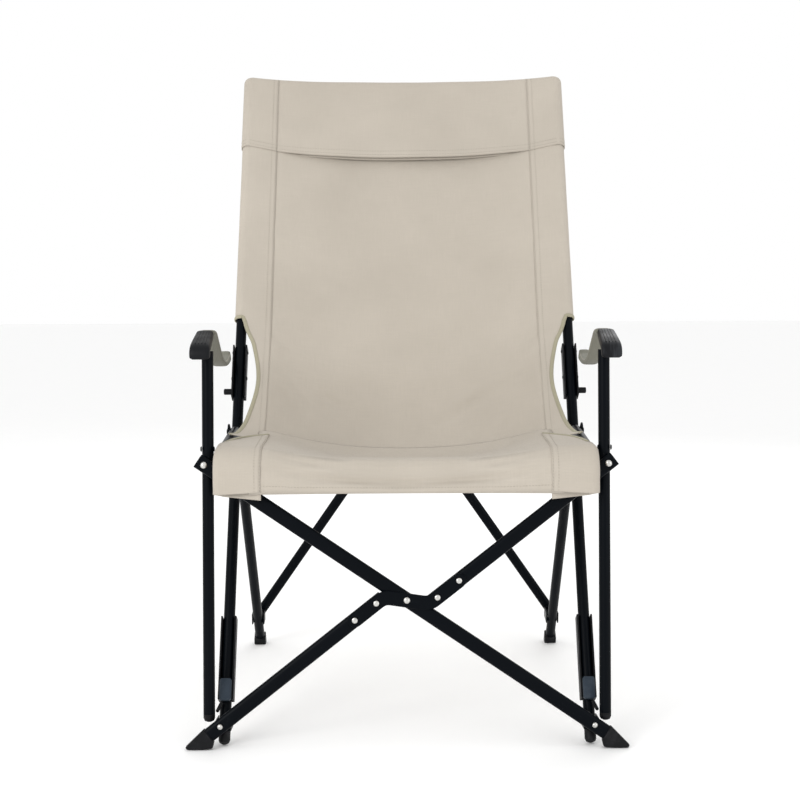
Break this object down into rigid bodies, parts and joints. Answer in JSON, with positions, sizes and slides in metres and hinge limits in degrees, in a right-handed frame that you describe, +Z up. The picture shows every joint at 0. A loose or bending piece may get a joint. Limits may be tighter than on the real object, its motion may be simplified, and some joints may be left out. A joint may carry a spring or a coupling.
{
  "type": "folding camp armchair",
  "caption": "High-back folding camp armchair: dark tube frame with crossed front and rear legs, slanted back tubes, webbing arms and a one-piece canvas sling seat.",
  "frame": {"origin": "middle of the footprint on the ground, bottom centre of the bounding box", "axes": "+Z up, -Y the way the sitter faces, +X to the sitter's left"},
  "size_m": [0.6, 0.5985, 0.9509],
  "materials": {
    "frame_paint": "satin black-navy powder coat with rubbed edges",
    "rivet_steel": "bright domed rivet heads",
    "black_plastic": "moulded black nylon, scuffed",
    "slider_plastic": "moulded blue-grey nylon",
    "canvas": "greige plain-weave canvas with double-stitched seams",
    "binding": "khaki woven binding tape",
    "arm_webbing": "grey-khaki padded webbing"
  },
  "bodies": {
    "left_frame": {"left_back_tube": "frame_paint", "left_tube_plug": "black_plastic", "left_gusset": "frame_paint", "left_arm_bracket": "black_plastic", "left_arm_peg": "black_plastic", "left_back_sleeve": "canvas", "back_panel": "canvas", "head_pocket": "canvas"},
    "left_seat": {"left_seat_rail": "frame_paint", "left_rail_plug": "black_plastic", "left_seat_sleeve": "canvas", "seat_panel": "canvas", "seat_front_band": "canvas"},
    "left_rear_leg": {"left_rear_leg": "frame_paint", "left_rear_foot": "black_plastic"},
    "left_post": {"left_arm_post": "frame_paint", "left_post_plug": "black_plastic", "left_arm_cap": "black_plastic", "left_arm_strap": "arm_webbing"},
    "left_slider": {"left_slider": "black_plastic", "left_slider_block": "slider_plastic", "left_slider_link": "black_plastic"},
    "left_knuckle": {"left_knuckle": "frame_paint"},
    "rear_knuckle_left": {"rear_knuckle_left": "frame_paint"},
    "right_frame": {"right_back_tube": "frame_paint", "right_tube_plug": "black_plastic", "right_gusset": "frame_paint", "right_arm_bracket": "black_plastic", "right_arm_peg": "black_plastic", "right_back_sleeve": "canvas"},
    "right_seat": {"right_seat_rail": "frame_paint", "right_rail_plug": "black_plastic", "right_seat_sleeve": "canvas"},
    "right_rear_leg": {"right_rear_leg": "frame_paint", "right_rear_foot": "black_plastic"},
    "right_post": {"right_arm_post": "frame_paint", "right_post_plug": "black_plastic", "right_arm_cap": "black_plastic", "right_arm_strap": "arm_webbing"},
    "right_slider": {"right_slider": "black_plastic", "right_slider_block": "slider_plastic", "right_slider_link": "black_plastic"},
    "right_knuckle": {"right_knuckle": "frame_paint"},
    "rear_knuckle_right": {"rear_knuckle_right": "frame_paint"},
    "front_bar_a": {"bar_a_lower_tube": "frame_paint", "bar_a_upper_tube": "frame_paint", "z_plate": "frame_paint", "centre_rivet": "rivet_steel", "left_low_rivet": "rivet_steel", "right_high_rivet": "rivet_steel", "left_front_foot": "black_plastic"},
    "front_bar_b": {"bar_b_tube": "frame_paint", "right_low_rivet": "rivet_steel", "left_high_rivet": "rivet_steel", "right_front_foot": "black_plastic"},
    "rear_bar_a": {"rear_bar_a": "frame_paint"},
    "rear_bar_b": {"rear_bar_b": "frame_paint"}
  },
  "joints": [
    {"name": "left_knuckle_turn", "type": "hinge", "parent": "left_frame", "child": "left_knuckle", "pos_m": [-0.25, -0.26347, 0.02869], "axis": [1, 0, 0], "range_deg": [-12.46, 0]},
    {"name": "left_foot_turn", "type": "hinge", "parent": "left_knuckle", "child": "front_bar_a", "pos_m": [-0.2535, -0.29073, 0.03108], "axis": [0, -0.9962, 0.0872], "range_deg": [0, 28.01]},
    {"name": "fold", "type": "hinge", "parent": "front_bar_a", "child": "front_bar_b", "pos_m": [0, -0.2759, 0.20065], "axis": [0, 0.9962, -0.0872], "range_deg": [0, 56], "deforming": ["back_panel", "head_pocket", "seat_panel", "seat_front_band", "left_arm_strap", "right_arm_strap"]},
    {"name": "right_foot_turn", "type": "hinge", "parent": "front_bar_b", "child": "right_knuckle", "pos_m": [0.2535, -0.29073, 0.03108], "axis": [0, -0.9962, 0.0872], "range_deg": [0, 28.01]},
    {"name": "right_knuckle_turn", "type": "hinge", "parent": "right_knuckle", "child": "right_frame", "pos_m": [0.25, -0.26347, 0.02869], "axis": [1, 0, 0], "range_deg": [0, 12.46]},
    {"name": "left_post_rise", "type": "slide", "parent": "left_knuckle", "child": "left_post", "axis": [0, 0.0872, 0.9962], "range_m": [0, 0.20617]},
    {"name": "left_slider_travel", "type": "slide", "parent": "left_frame", "child": "left_slider", "axis": [0, 0.4924, 0.8704], "range_m": [0, 0.20581]},
    {"name": "left_seat_lift", "type": "hinge", "parent": "left_frame", "child": "left_seat", "pos_m": [-0.25, -0.07828, 0.40881], "axis": [1, 0, 0], "range_deg": [-86.58, 0]},
    {"name": "left_rear_leg_swing", "type": "hinge", "parent": "left_frame", "child": "left_rear_leg", "pos_m": [-0.25, -0.03302, 0.38321], "axis": [1, 0, 0], "range_deg": [-34.15, 0]},
    {"name": "rear_knuckle_left_turn", "type": "hinge", "parent": "left_rear_leg", "child": "rear_knuckle_left", "pos_m": [-0.25, 0.25139, 0.052], "axis": [1, 0, 0], "range_deg": [0, 16.93]},
    {"name": "rear_bar_a_turn", "type": "hinge", "parent": "rear_knuckle_left", "child": "rear_bar_a", "pos_m": [-0.25, 0.27815, 0.05556], "axis": [0, -0.9913, -0.1318], "range_deg": [0, 16.04]},
    {"name": "right_post_rise", "type": "slide", "parent": "right_knuckle", "child": "right_post", "axis": [0, 0.0872, 0.9962], "range_m": [0, 0.20617]},
    {"name": "right_slider_travel", "type": "slide", "parent": "right_frame", "child": "right_slider", "axis": [0, 0.4924, 0.8704], "range_m": [0, 0.20581]},
    {"name": "right_seat_lift", "type": "hinge", "parent": "right_frame", "child": "right_seat", "pos_m": [0.25, -0.07828, 0.40881], "axis": [1, 0, 0], "range_deg": [-86.58, 0]},
    {"name": "right_rear_leg_swing", "type": "hinge", "parent": "right_frame", "child": "right_rear_leg", "pos_m": [0.25, -0.03302, 0.38321], "axis": [1, 0, 0], "range_deg": [-34.15, 0]},
    {"name": "rear_knuckle_right_turn", "type": "hinge", "parent": "right_rear_leg", "child": "rear_knuckle_right", "pos_m": [0.25, 0.25139, 0.052], "axis": [1, 0, 0], "range_deg": [0, 16.93]},
    {"name": "rear_bar_b_turn", "type": "hinge", "parent": "rear_knuckle_right", "child": "rear_bar_b", "pos_m": [0.25, 0.28866, 0.05695], "axis": [0, -0.9913, -0.1318], "range_deg": [-16.04, 0]}
  ],
  "couplings": [
    {"joint": "left_knuckle_turn", "follows": "fold", "ratio": -0.22239},
    {"joint": "left_foot_turn", "follows": "fold", "ratio": 0.5},
    {"joint": "right_foot_turn", "follows": "fold", "ratio": 0.5},
    {"joint": "right_knuckle_turn", "follows": "fold", "ratio": 0.22239},
    {"joint": "left_post_rise", "follows": "fold", "m_per_rad": 0.21084},
    {"joint": "left_slider_travel", "follows": "fold", "m_per_rad": 0.21047},
    {"joint": "left_seat_lift", "follows": "fold", "ratio": -1.5454},
    {"joint": "left_rear_leg_swing", "follows": "fold", "ratio": -0.60951},
    {"joint": "rear_knuckle_left_turn", "follows": "fold", "ratio": 0.30213},
    {"joint": "rear_bar_a_turn", "follows": "fold", "ratio": 0.28624},
    {"joint": "right_post_rise", "follows": "fold", "m_per_rad": 0.21084},
    {"joint": "right_slider_travel", "follows": "fold", "m_per_rad": 0.21047},
    {"joint": "right_seat_lift", "follows": "fold", "ratio": -1.5454},
    {"joint": "right_rear_leg_swing", "follows": "fold", "ratio": -0.60951},
    {"joint": "rear_knuckle_right_turn", "follows": "fold", "ratio": 0.30213},
    {"joint": "rear_bar_b_turn", "follows": "fold", "ratio": -0.28624}
  ]
}
